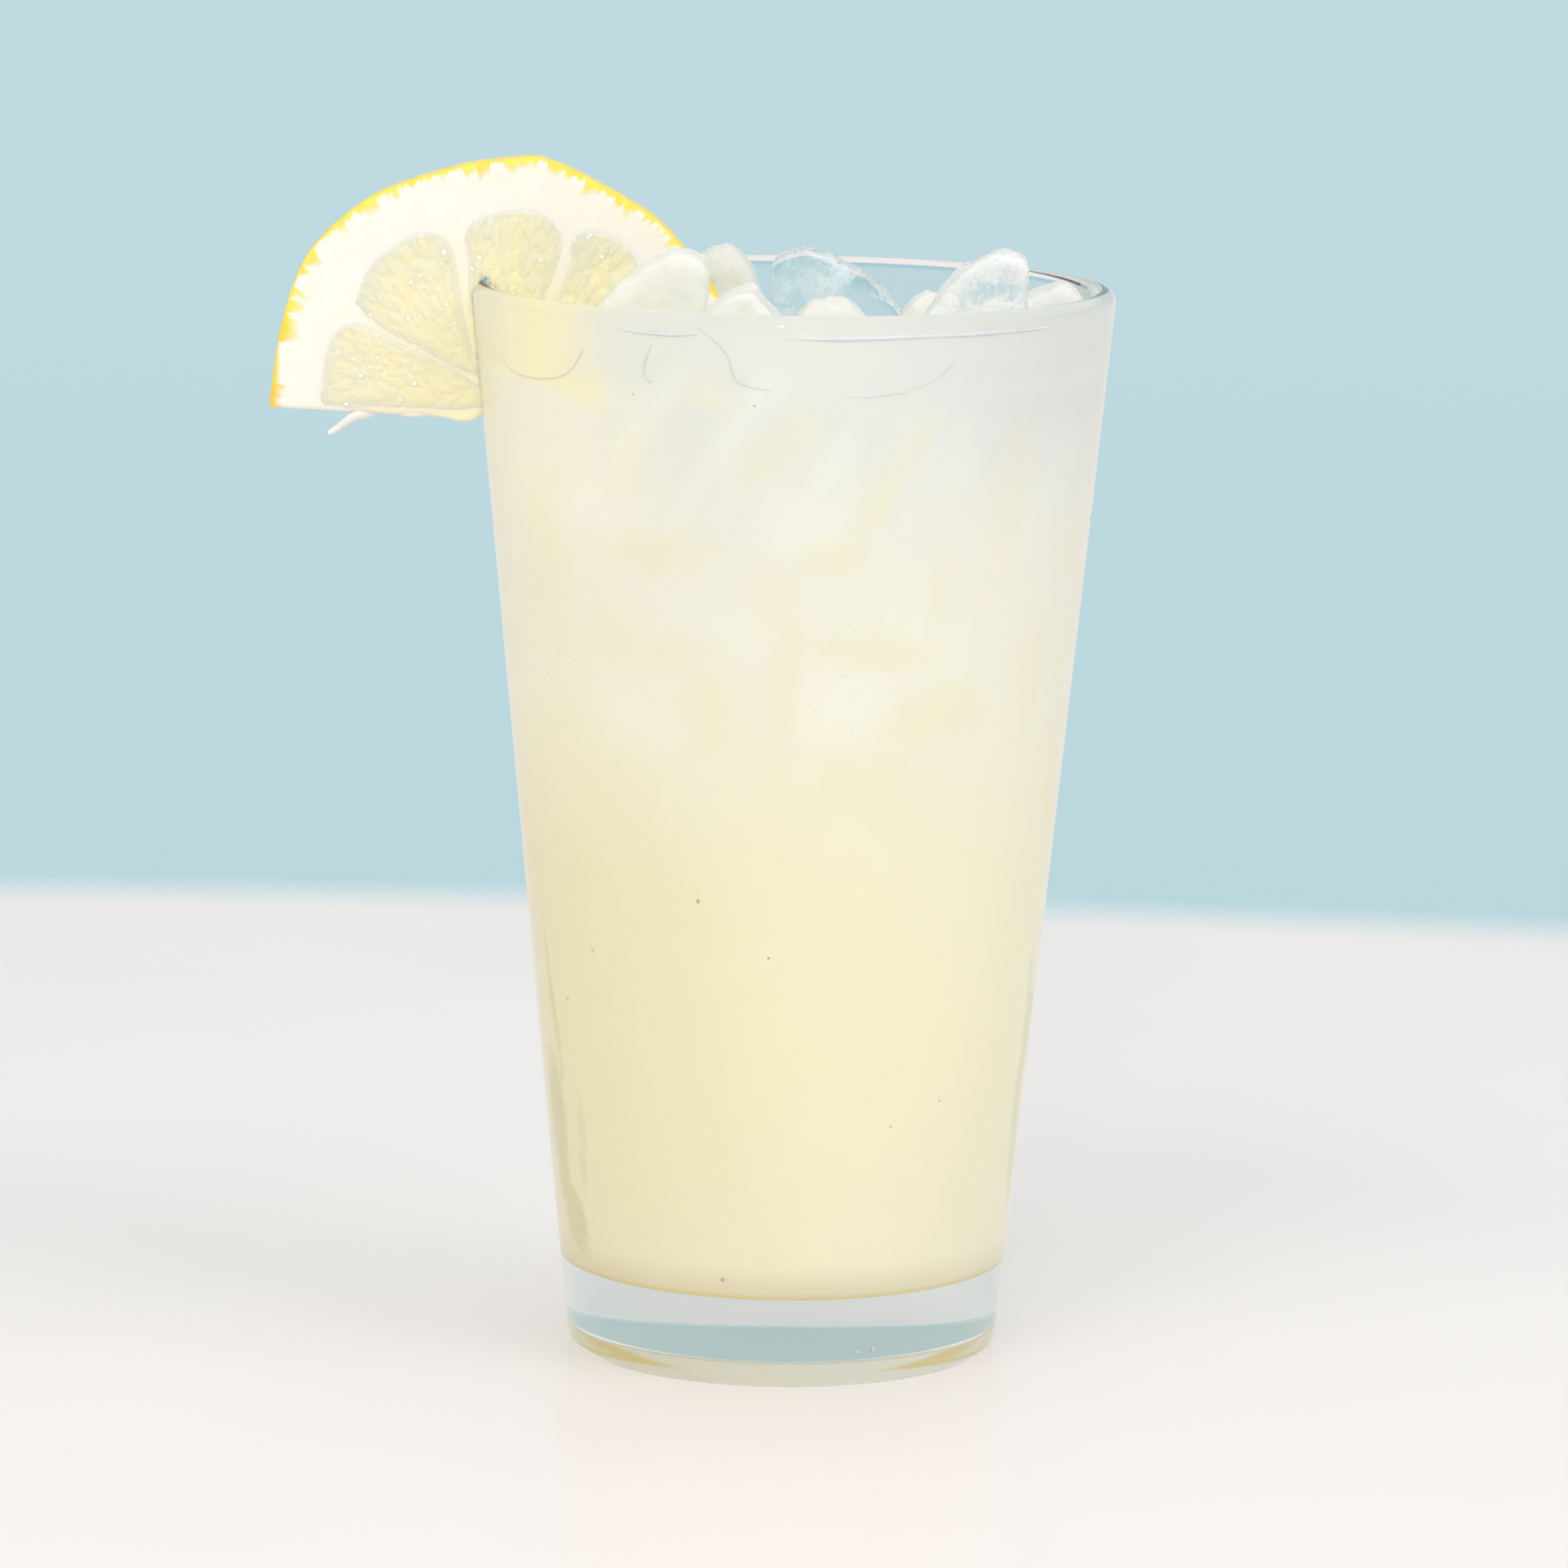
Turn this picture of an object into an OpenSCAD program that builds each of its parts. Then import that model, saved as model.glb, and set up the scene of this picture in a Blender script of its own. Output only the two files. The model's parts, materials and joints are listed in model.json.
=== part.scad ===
// Glass of lemonade: a heavy straight-sided tumbler filled with cloudy lemonade,
// half-moon ice standing out of the top and half a lemon wheel pushed onto the rim.
// The origin is the middle of the foot, +Z runs up the glass, the lemon is on the -X side.

/* [Glass] */
// Height of the glass
glass_h = 149; // [120:1:180]
// Outer diameter at the rim
rim_d = 88.9; // [84:0.1:107]
// Outer diameter where the wall line meets the foot
foot_d = 59.8; // [56:0.1:72]
// Wall thickness at the rim
rim_wall = 3.4; // [2.4:0.1:4.4]
// Wall thickness at the floor
foot_wall = 4.4; // [3:0.1:6]
// Thickness of the solid floor
floor_t = 12; // [6:0.5:18]
// Rounding of the outer foot corner
foot_round = 2.6; // [1:0.1:4]
// Rounding of the inner floor corner
floor_round = 6; // [2:0.5:12]

/* [Lemonade] */
// Depth of the drink's surface below the rim
fill_drop = 10.5; // [9:0.5:14]
// Gap between the drink and what stands in it
drink_gap = 0.2; // [0.1:0.05:0.3]

/* [Lemon] */
// Radius of the lemon wheel
lemon_r = 32.6; // [26:0.5:36]
// Thickness of the slice
lemon_t = 6; // [4:0.5:7]
// Distance the straight cut runs below the middle of the wheel
lemon_below = 2.5; // [1:0.1:4]
// Height of the wheel's middle below the rim
lemon_drop = 16; // [12:0.5:18]
// Distance from the wheel's middle in to the middle of the wall
lemon_in = 3; // [0:0.5:6]
// Gap between the slit and the glass
slit_gap = 0.2; // [0.1:0.05:0.4]
// Length of the knife cut above the rim
slit_over = 2; // [1:0.1:4]

/* [Ice] */
// Diameter of the round edge of a half-moon
ice_d = 38; // [30:1:40]
// Thickness of a half-moon
ice_t = 11.5; // [9:0.5:13]
// Depth clipped off the corners of a half-moon
ice_soft = 1.8; // [0.8:0.1:2.6]
// Radius of the domed faces of a half-moon
ice_dome = 50; // [30:1:90]

/* [Hidden] */
$fn = 96;

// Lemon wheel's outline: its number of points, and the depth, number and turn of its flats.
wheel_steps = 72;
flat_depth = 0.45;
flat_count = 7;
flat_turn = 231;

// Outer wall line: radius foot_r at the foot, rim_r at the top.
foot_r = foot_d / 2;
rim_r = rim_d / 2;
outer_lean = atan((rim_r - foot_r) / glass_h);
function outer_r(z) = foot_r + z * tan(outer_lean);

// Inner wall line, measured the same way.
floor_r = outer_r(floor_t) - foot_wall;
inner_lean = atan((rim_r - rim_wall - floor_r) / (glass_h - floor_t));
function inner_r(z) = floor_r + (z - floor_t) * tan(inner_lean);

// Rim: the circle that touches both wall lines and the top plane.
rim_round = (outer_r(glass_h) - inner_r(glass_h))
    / (1 / cos(outer_lean) + 1 / cos(inner_lean) + tan(outer_lean) - tan(inner_lean));
rim_z = glass_h - rim_round;
rim_mid = outer_r(rim_z) - rim_round / cos(outer_lean);

// Foot corner and floor corner circles.
foot_mid = outer_r(foot_round) - foot_round / cos(outer_lean);
hollow_z = floor_t + floor_round;
hollow_mid = inner_r(hollow_z) - floor_round / cos(inner_lean);

// Lemonade surface.
level = glass_h - fill_drop;
level_r = inner_r(level);

// Lemon wheel middle.
lemon_x = -(rim_mid - lemon_in);
lemon_z = glass_h - lemon_drop;

// Each half-moon: place of the round edge's middle as shares of the drink's radius, its height
// above the surface, turns about X, Y and Z, size against ice_d, and how far the flat side lies
// past that middle.
ice_spots = [
    [[-0.26, -0.41], -1.8, [0, 0, 0], 1, -1.5],
    [[-0.25, 0.18], -4, [0, 0, -90], 1, 2],
    [[0.035, -0.715], 2.4, [0, -45, 0], 0.8, 2],
    [[0.13, -0.45], -8.4, [0, 0, -90], 1, 3],
    [[-0.03, 0.7], -6.2, [0, 0, 180], 1, 2],
    [[0.51, 0.2], -4.2, [0, 0, -90], 0.7, 1],
    [[0.835, -0.37], 0.6, [0, 0, 0], 0.9, -1.7],
    [[0.765, -0.01], 7.6, [0, -112, 0], 0.5, 1],
    [[0.66, 0.325], -1.2, [0, 0, 180], 0.47, 0]
];

// ---- Glass ----

// Half section of the glass: straight walls, a solid floor and a round rim.
module glass_section() {
    difference() {
        union() {
            polygon([
                [0, 0],
                [foot_mid, 0],
                [foot_mid + foot_round * cos(outer_lean), foot_round * (1 - sin(outer_lean))],
                [rim_mid + rim_round * cos(outer_lean), rim_z - rim_round * sin(outer_lean)],
                [rim_mid - rim_round * cos(inner_lean), rim_z + rim_round * sin(inner_lean)],
                [hollow_mid + floor_round * cos(inner_lean), hollow_z - floor_round * sin(inner_lean)],
                [hollow_mid, floor_t],
                [0, floor_t]
            ]);
            translate([foot_mid, foot_round]) circle(foot_round);
            translate([rim_mid, rim_z]) circle(rim_round);
        }
        translate([hollow_mid, hollow_z]) circle(floor_round);
    }
}

module glass() {
    color([0.86, 0.93, 0.93, 0.35]) rotate_extrude() glass_section();
}

// ---- Lemon slice ----

// Radius of the wheel at an angle: a few shallow flats keep it from being a true circle.
function wheel_r(angle) = lemon_r + flat_depth * cos(flat_count * angle - flat_turn);

// The half wheel standing in the XZ plane, grown by a gap all over.
module half_wheel(gap) {
    translate([lemon_x, 0, lemon_z]) rotate([90, 0, 0])
        linear_extrude(lemon_t + 2 * gap, center = true)
            intersection() {
                polygon([for (i = [0 : wheel_steps - 1])
                    let (angle = i * 360 / wheel_steps)
                        (wheel_r(angle) + gap) * [cos(angle), sin(angle)]]);
                translate([-2 * lemon_r, -lemon_below - gap]) square([4 * lemon_r, 3 * lemon_r]);
            }
}

// The wall grown by the slit's gap, with a wedge for the knife cut above the rim.
module slit() {
    rotate_extrude() {
        polygon([
            [outer_r(lemon_z - lemon_r) + slit_gap, lemon_z - lemon_r],
            [rim_mid + rim_round + slit_gap, rim_z],
            [rim_mid - rim_round - slit_gap, rim_z],
            [inner_r(lemon_z - lemon_r) - slit_gap, lemon_z - lemon_r]
        ]);
        translate([rim_mid, rim_z]) circle(rim_round + slit_gap);
        polygon([
            [rim_mid + rim_round / 2, glass_h - rim_round / 2],
            [rim_mid, glass_h + slit_over],
            [rim_mid - rim_round / 2, glass_h - rim_round / 2]
        ]);
    }
}

module lemon_slice() {
    color([0.97, 0.91, 0.55]) difference() {
        half_wheel(0);
        slit();
    }
}

// ---- Ice ----

// A half-moon standing on end: round edge to -X, flat side to +X, clipped corners and two
// faces that dome towards the middle of its length.
module half_moon(size, flat, gap) {
    r = size * ice_d / 2;
    middle = (flat - r) / 2;
    tip = sqrt(pow(r, 2) - pow(flat, 2));
    corner = sqrt(pow(flat - middle, 2) + pow(tip, 2)) - ice_soft;
    intersection() {
        rotate([90, 0, 0]) linear_extrude(ice_t + 4 * gap, center = true)
            intersection() {
                circle(r + gap);
                translate([flat + gap - 4 * r, -2 * r]) square(4 * r);
                translate([middle, 0]) circle(corner + gap);
            }
        for (side = [-1, 1])
            translate([0, side * (ice_dome - ice_t / 2), 0]) rotate([0, 90, 0])
                cylinder(r = ice_dome + gap, h = 4 * r, center = true);
    }
}

module placed_ice(i, gap) {
    spot = ice_spots[i];
    translate([spot[0][0] * level_r, spot[0][1] * level_r, level + spot[1]])
        rotate(spot[2]) half_moon(spot[3], spot[4], gap);
}

module ice(i) {
    color([0.9, 0.93, 0.94, 0.6]) placed_ice(i, 0);
}

// ---- Lemonade ----

// Half section of the drink, which fills the hollow up to its surface.
module drink_section() {
    polygon([
        [0, floor_t],
        [hollow_mid, floor_t],
        [hollow_mid, hollow_z],
        [hollow_mid + floor_round * cos(inner_lean), hollow_z - floor_round * sin(inner_lean)],
        [level_r, level],
        [0, level]
    ]);
    intersection() {
        translate([hollow_mid, hollow_z]) circle(floor_round);
        translate([hollow_mid, floor_t]) square(floor_round);
    }
}

module lemonade() {
    color([0.95, 0.93, 0.8]) difference() {
        rotate_extrude() drink_section();
        half_wheel(drink_gap);
        for (i = [0 : len(ice_spots) - 1]) placed_ice(i, drink_gap);
    }
}

glass();
lemonade();
lemon_slice();
for (i = [0 : len(ice_spots) - 1])
    ice(i);
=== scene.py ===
"""Glass of cloudy lemonade with half-moon ice and half a lemon wheel on the rim."""
import json
import math
import random

import bpy
import numpy as np
from bpy.props import FloatProperty, FloatVectorProperty, IntProperty, PointerProperty
from bpy.types import Operator, Panel, PropertyGroup
from mathutils import Matrix, Vector

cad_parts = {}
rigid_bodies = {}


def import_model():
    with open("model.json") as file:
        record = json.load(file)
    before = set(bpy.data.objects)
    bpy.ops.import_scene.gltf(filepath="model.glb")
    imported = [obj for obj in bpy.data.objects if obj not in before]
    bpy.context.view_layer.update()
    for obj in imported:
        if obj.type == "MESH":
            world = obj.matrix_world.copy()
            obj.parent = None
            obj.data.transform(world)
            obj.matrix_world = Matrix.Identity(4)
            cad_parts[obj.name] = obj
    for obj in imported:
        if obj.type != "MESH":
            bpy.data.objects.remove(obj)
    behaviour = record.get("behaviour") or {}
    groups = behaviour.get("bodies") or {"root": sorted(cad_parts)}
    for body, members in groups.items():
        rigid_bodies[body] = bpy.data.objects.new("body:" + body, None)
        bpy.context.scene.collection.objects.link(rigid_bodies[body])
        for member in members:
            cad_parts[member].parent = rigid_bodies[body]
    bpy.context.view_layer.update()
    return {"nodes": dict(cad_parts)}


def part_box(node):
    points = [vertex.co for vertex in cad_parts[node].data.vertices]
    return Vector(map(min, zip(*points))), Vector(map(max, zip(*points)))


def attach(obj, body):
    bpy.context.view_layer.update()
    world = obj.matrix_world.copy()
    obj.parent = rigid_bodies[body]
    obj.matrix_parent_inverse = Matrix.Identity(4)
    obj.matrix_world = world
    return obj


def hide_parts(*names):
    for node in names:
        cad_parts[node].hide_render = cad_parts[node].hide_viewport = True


bl_info = {
    "name": "Glass of Lemonade",
    "version": (1, 0, 0),
    "blender": (4, 5, 0),
    "location": "View3D > Sidebar > Lemonade",
    "description": "Adds a tumbler of lemonade with ice and a lemon slice, and a plain stage",
    "category": "Add Mesh",
}

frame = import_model()
DRINK_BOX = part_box("lemonade")
MM = 0.001
ICE_NODES = ["ice_%d" % i for i in range(1, 10)]

# Wall lines of the tumbler, as radius at height nought and growth with height, in metres.
OUTER_LINE = (0.0299, 0.09765)
INNER_LINE = (0.02541, 0.10495)
# Their lean in degrees, and the rounds between them as radius, height and size.
LEAN_OUT, LEAN_IN = 5.577, 5.991
RIM_ROUND = (0.042585, 0.147302, 0.001698)
FLOOR_ROUND = (0.021268, 0.018, 0.006)
FOOT_ROUND = 0.0026
FLOOR_TOP = 0.012
# The hollow under the foot: its height, how far its flat roof reaches and its sloping edge.
HOLLOW_TOP, HOLLOW_REACH = 0.003, 0.0224
HOLLOW_EDGE = [(0.0231, 0.0028), (0.0249, 0.0003), (0.0256, 0)]

GLASS_IOR, WATER_IOR, ICE_IOR = 1.5, 1.33, 1.31


def outer_radius(z):
    """Radius of the outer wall line at a height."""
    return OUTER_LINE[0] + z * OUTER_LINE[1]


def inner_radius(z):
    """Radius of the inner wall line at a height."""
    return INNER_LINE[0] + z * INNER_LINE[1]


# ---------------------------------------------------------------- mesh helpers


def clear_selection():
    """Leave edit mode and deselect every object."""
    if bpy.context.object and bpy.context.object.mode != "OBJECT":
        bpy.ops.object.mode_set(mode="OBJECT")
    for obj in bpy.context.view_layer.objects:
        obj.select_set(False)


def select_only(obj):
    """Make this the one selected and active object."""
    clear_selection()
    obj.select_set(True)
    bpy.context.view_layer.objects.active = obj


def link_new(name, data):
    """A new object with this data, in the scene."""
    obj = bpy.data.objects.new(name, data)
    bpy.context.scene.collection.objects.link(obj)
    return obj


def edit_all(obj):
    """Open the object for editing with everything selected."""
    select_only(obj)
    bpy.ops.object.mode_set(mode="EDIT")
    bpy.ops.mesh.select_all(action="SELECT")


def close_edit():
    """Go back to object mode."""
    bpy.ops.object.mode_set(mode="OBJECT")


def settle(obj):
    """Put the object's place into its mesh."""
    select_only(obj)
    bpy.ops.object.transform_apply(location=True, rotation=True, scale=True)


def apply_modifier(obj, kind, **settings):
    """Add a modifier, set it and apply it."""
    select_only(obj)
    mod = obj.modifiers.new(kind.title(), kind)
    for key, value in settings.items():
        setattr(mod, key, value)
    bpy.ops.object.modifier_apply(modifier=mod.name)


def arc(mid, radius, start, end, steps):
    """Points on an arc of a (radius, height) section, angles in degrees."""
    turns = [math.radians(start + (end - start) * i / steps) for i in range(steps + 1)]
    return [(mid[0] + radius * math.cos(a), mid[1] + radius * math.sin(a)) for a in turns]


def line(a, b, steps):
    """Points along a straight part of a section, without its two ends."""
    return [(a[0] + (b[0] - a[0]) * i / steps, a[1] + (b[1] - a[1]) * i / steps)
            for i in range(1, steps)]


def lathe(name, section, steps):
    """Draw a half section point by point and spin it round the upright axis."""
    clear_selection()
    bpy.ops.mesh.primitive_plane_add(size=0.001)
    obj = bpy.context.object
    obj.name = obj.data.name = name
    edit_all(obj)
    bpy.ops.mesh.merge(type="CENTER")
    bpy.ops.transform.translate(value=(section[0][0], 0, section[0][1]))
    for (r0, z0), (r1, z1) in zip(section, section[1:]):
        step = (r1 - r0, 0, z1 - z0)
        bpy.ops.mesh.extrude_region_move(TRANSFORM_OT_translate={"value": step})
    bpy.ops.mesh.select_all(action="SELECT")
    bpy.ops.mesh.spin(steps=steps, angle=2 * math.pi, center=(0, 0, 0), axis=(0, 0, 1))
    bpy.ops.mesh.select_all(action="SELECT")
    bpy.ops.mesh.remove_doubles(threshold=4e-6)
    bpy.ops.mesh.normals_make_consistent(inside=False)
    close_edit()
    return obj


def smooth_loop(points, per):
    """A closed curve through the points, with this many steps between two of them."""
    out = []
    count = len(points)
    for i in range(count):
        p0, p1, p2, p3 = (Vector(points[(i + k) % count]) for k in (-1, 0, 1, 2))
        for j in range(per):
            t = j / per
            out.append(0.5 * ((2 * p1) + (p2 - p0) * t + (2 * p0 - 5 * p1 + 4 * p2 - p3) * t * t
                              + (3 * p1 - p0 - 3 * p2 + p3) * t * t * t))
    return out


def plate(name, outline, half):
    """A plate with its outline in the XZ plane, this far to the front and back, in millimetres."""
    clear_selection()
    bpy.ops.mesh.primitive_circle_add(vertices=len(outline), radius=0.01, fill_type="NGON")
    obj = bpy.context.object
    obj.name = obj.data.name = name
    for vert, (x, z) in zip(obj.data.vertices, outline):
        vert.co = (x * MM, -half * MM, z * MM)
    edit_all(obj)
    depth = (0, 2 * half * MM, 0)
    bpy.ops.mesh.extrude_region_move(TRANSFORM_OT_translate={"value": depth})
    bpy.ops.mesh.select_all(action="SELECT")
    bpy.ops.mesh.normals_make_consistent(inside=False)
    close_edit()
    return obj


def strand(name, route, radius):
    """A round strand along points given as x, y, z and a share of the radius, in millimetres."""
    curve = bpy.data.curves.new(name, "CURVE")
    curve.dimensions, curve.use_fill_caps = "3D", True
    curve.bevel_depth, curve.bevel_resolution = radius * MM, 3
    spline = curve.splines.new("NURBS")
    spline.points.add(len(route) - 1)
    for point, (x, y, z, size) in zip(spline.points, route):
        point.co, point.radius = (x * MM, y * MM, z * MM, 1), size
    spline.use_endpoint_u, spline.order_u, spline.resolution_u = True, 4, 8
    obj = link_new(name, curve)
    select_only(obj)
    bpy.ops.object.convert(target="MESH")
    obj = bpy.context.object
    obj.name = obj.data.name = name
    return obj


def get_points(obj):
    """The mesh's points as an array, in millimetres."""
    co = np.zeros(len(obj.data.vertices) * 3)
    obj.data.vertices.foreach_get("co", co)
    return co.reshape(-1, 3) / MM


def set_points(obj, points):
    """Write the points back, from millimetres."""
    obj.data.vertices.foreach_set("co", (points * MM).ravel())
    obj.data.update()


def get_normals(obj):
    """The mesh's point normals as an array."""
    normals = np.zeros(len(obj.data.vertices) * 3)
    obj.data.vertices.foreach_get("normal", normals)
    return normals.reshape(-1, 3)


def store(obj, name, columns):
    """Keep three values per point on the mesh, for its material."""
    layer = obj.data.attributes.new(name, "FLOAT_VECTOR", "POINT")
    layer.data.foreach_set("vector", np.stack(columns, axis=1).astype(np.float32).ravel())


def near_line(points, a, b):
    """For each point, the share of the way from a to b that is nearest, and the gap to it."""
    flat, step = points[:, [0, 2]], b - a
    share = np.clip(((flat - a) @ step) / (step @ step), 0, 1)
    return share, np.hypot(*(flat - a - share[:, None] * step).T)


def finish_piece(obj, slot, material, *nodes):
    """Give a piece its finish, let it ride on the glass and stand for its node."""
    settle(obj)
    bpy.ops.object.shade_smooth()
    obj.data.materials.clear()
    obj.data.materials.append(material)
    if nodes:
        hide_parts(*nodes)
    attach(obj, "root")


def scatter(name, spots, slot, material, shape=None):
    """One piece made of copies of a bead or a shape.

    Each spot is a place, the way up, a size, how flat it lies and a seed for its unevenness.
    """
    even = shape is not None
    if not even:
        clear_selection()
        bpy.ops.mesh.primitive_ico_sphere_add(subdivisions=2, radius=1)
        shape = bpy.context.object
    base = [v.co.copy() for v in shape.data.vertices]
    faces = [tuple(p.vertices) for p in shape.data.polygons]
    verts, polys = [], []
    for place, normal, size, flat, seed in spots:
        turn = normal.to_track_quat("Z", "Y")
        start = len(verts)
        draw = random.Random(seed)
        uneven = [1.0 if even else draw.uniform(0.8, 1.2) for _ in range(3)]
        for co in base:
            local = Vector((co.x * uneven[0], co.y * uneven[1], co.z * flat)) * size
            verts.append((place + turn @ local) * MM)
        polys += [tuple(i + start for i in face) for face in faces]
    mesh = bpy.data.meshes.new(name)
    mesh.from_pydata(verts, [], polys)
    obj = link_new(name, mesh)
    bpy.data.objects.remove(shape)
    finish_piece(obj, slot, material)


# ------------------------------------------------------------ material helpers


class Nodes:
    """A short way to write a node tree."""

    def __init__(self, owner):
        owner.use_nodes = True
        self.owner, self.tree = owner, owner.node_tree
        self.tree.nodes.clear()

    def feed(self, socket, value):
        """Link an output, given as (node, socket), or set the socket's own value."""
        if isinstance(value, tuple) and isinstance(value[0], bpy.types.Node):
            self.tree.links.new(value[0].outputs[value[1]], socket)
        else:
            socket.default_value = value

    def add(self, kind, **inputs):
        """Add a node; settings and sockets go by name, or by i and the socket's number."""
        node = self.tree.nodes.new("ShaderNode" + kind)
        for key, value in inputs.items():
            if hasattr(node, key) and key not in node.inputs:
                setattr(node, key, value)
            elif key[0] == "i" and key[1:].isdigit():
                self.feed(node.inputs[int(key[1:])], value)
            else:
                self.feed(node.inputs[key.replace("_", " ")], value)
        return node

    def place(self):
        """Object coordinates."""
        return self.add("TexCoord"), "Object"

    def split(self, vector):
        """A vector's three parts."""
        node = self.add("SeparateXYZ", Vector=vector)
        return (node, 0), (node, 1), (node, 2)

    def stored(self, name):
        """The three values that the mesh keeps under a name."""
        return self.split((self.add("Attribute", attribute_name=name), "Vector"))

    def measure(self, operation, a, b=(0, 0, 0)):
        """A vector's length, or the distance between two points."""
        return self.add("VectorMath", operation=operation, i0=a, i1=b), "Value"

    def math(self, operation, a, b=0.0, clamp=False):
        """A Math node's output."""
        return self.add("Math", operation=operation, use_clamp=clamp, i0=a, i1=b), 0

    def times(self, a, b):
        """Two values multiplied."""
        return self.math("MULTIPLY", a, b)

    def ramp(self, value, stops):
        """A colour ramp's output."""
        node = self.add("ValToRGB", Fac=value)
        elements = node.color_ramp.elements
        while len(elements) < len(stops):
            elements.new(0.5)
        for element, (place, colour) in zip(elements, stops):
            element.position = place
            element.color = (*linear(*colour), 1)
        return node, 0

    def span(self, value, low, high, out_low=0.0, out_high=1.0, smooth=False):
        """A value moved from one range to another and held inside it."""
        kind = "SMOOTHSTEP" if smooth else "LINEAR"
        return self.add("MapRange", interpolation_type=kind, Value=value, i1=low, i2=high,
                        i3=out_low, i4=out_high), 0

    def mix(self, factor, a, b, blend="MIX"):
        """A colour mix's output."""
        node = self.add("Mix", data_type="RGBA", blend_type=blend, i0=factor)
        for index, colour in ((6, a), (7, b)):
            linked = isinstance(colour[0], bpy.types.Node)
            self.feed(node.inputs[index], colour if linked else (*colour, 1))
        return node, 2

    def noise(self, vector, scale, detail=2.0, rough=0.5):
        """A noise texture's output."""
        return self.add("TexNoise", Vector=vector, Scale=scale, Detail=detail, Roughness=rough), 0

    def bump(self, height, strength, distance):
        """A bump's output."""
        return self.add("Bump", Strength=strength, Distance=distance, Height=height), 0

    def skin(self, colour, roughness, **more):
        """The main shader of a surface."""
        linked = isinstance(colour[0], bpy.types.Node)
        return self.add("BsdfPrincipled", Base_Color=colour if linked else (*colour, 1),
                        Roughness=roughness, **more)

    def blend(self, share, first, second):
        """A mix of two shaders."""
        return self.add("MixShader", Fac=share, i1=(first, 0), i2=(second, 0))

    def finish(self, shader, **more):
        """Link the shader to the output and return the material."""
        self.add("OutputMaterial", Surface=(shader, 0), **more)
        return self.owner


def new_material(name):
    """The node writer of a new material."""
    return Nodes(bpy.data.materials.new(name))


def linear(red, green, blue):
    """A colour given in 0 to 255 steps, as linear light."""
    return tuple(c / 12.92 if c <= 0.04045 else ((c + 0.055) / 1.055) ** 2.4
                 for c in (red / 255, green / 255, blue / 255))


def soft_light(weight, radius):
    """Shader sockets for light that spreads under the surface."""
    return {"Subsurface_Weight": weight, "Subsurface_Radius": radius, "Subsurface_Scale": 1.0}


def let_light_through(n, shader, tint):
    """Let soft light and shadow pass clear pieces, so that what is inside is lit evenly."""
    path = n.add("LightPath")
    either = n.math("MAXIMUM", (path, "Is Shadow Ray"), (path, "Is Diffuse Ray"))
    return n.blend(either, shader, n.add("BsdfTransparent", Color=(*tint, 1)))


def glass_material(tint):
    """Clear polished glass with a faint green tint."""
    n = new_material("tumbler_glass")
    ripple = n.bump(n.noise(n.place(), 45.0, 1.0), 0.02, 0.002)
    skin = n.skin(tint, 0.0, IOR=GLASS_IOR, Transmission_Weight=1.0, Normal=ripple)
    both = let_light_through(n, skin, (0.98, 0.98, 0.975))
    depth = n.add("VolumeAbsorption", Color=(0.35, 0.45, 0.43, 1), Density=4.0)
    return n.finish(both, Volume=(depth, 0))


# The drink's colour by its share of the height.
DRINK_STOPS = [
    (0, (237, 232, 205)), (0.06, (238, 233, 206)), (0.28, (240, 235, 203)),
    (0.46, (239, 235, 206)), (0.64, (236, 234, 215)), (0.82, (233, 232, 220)),
    (0.97, (226, 228, 222)), (1, (226, 229, 223)),
]


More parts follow.
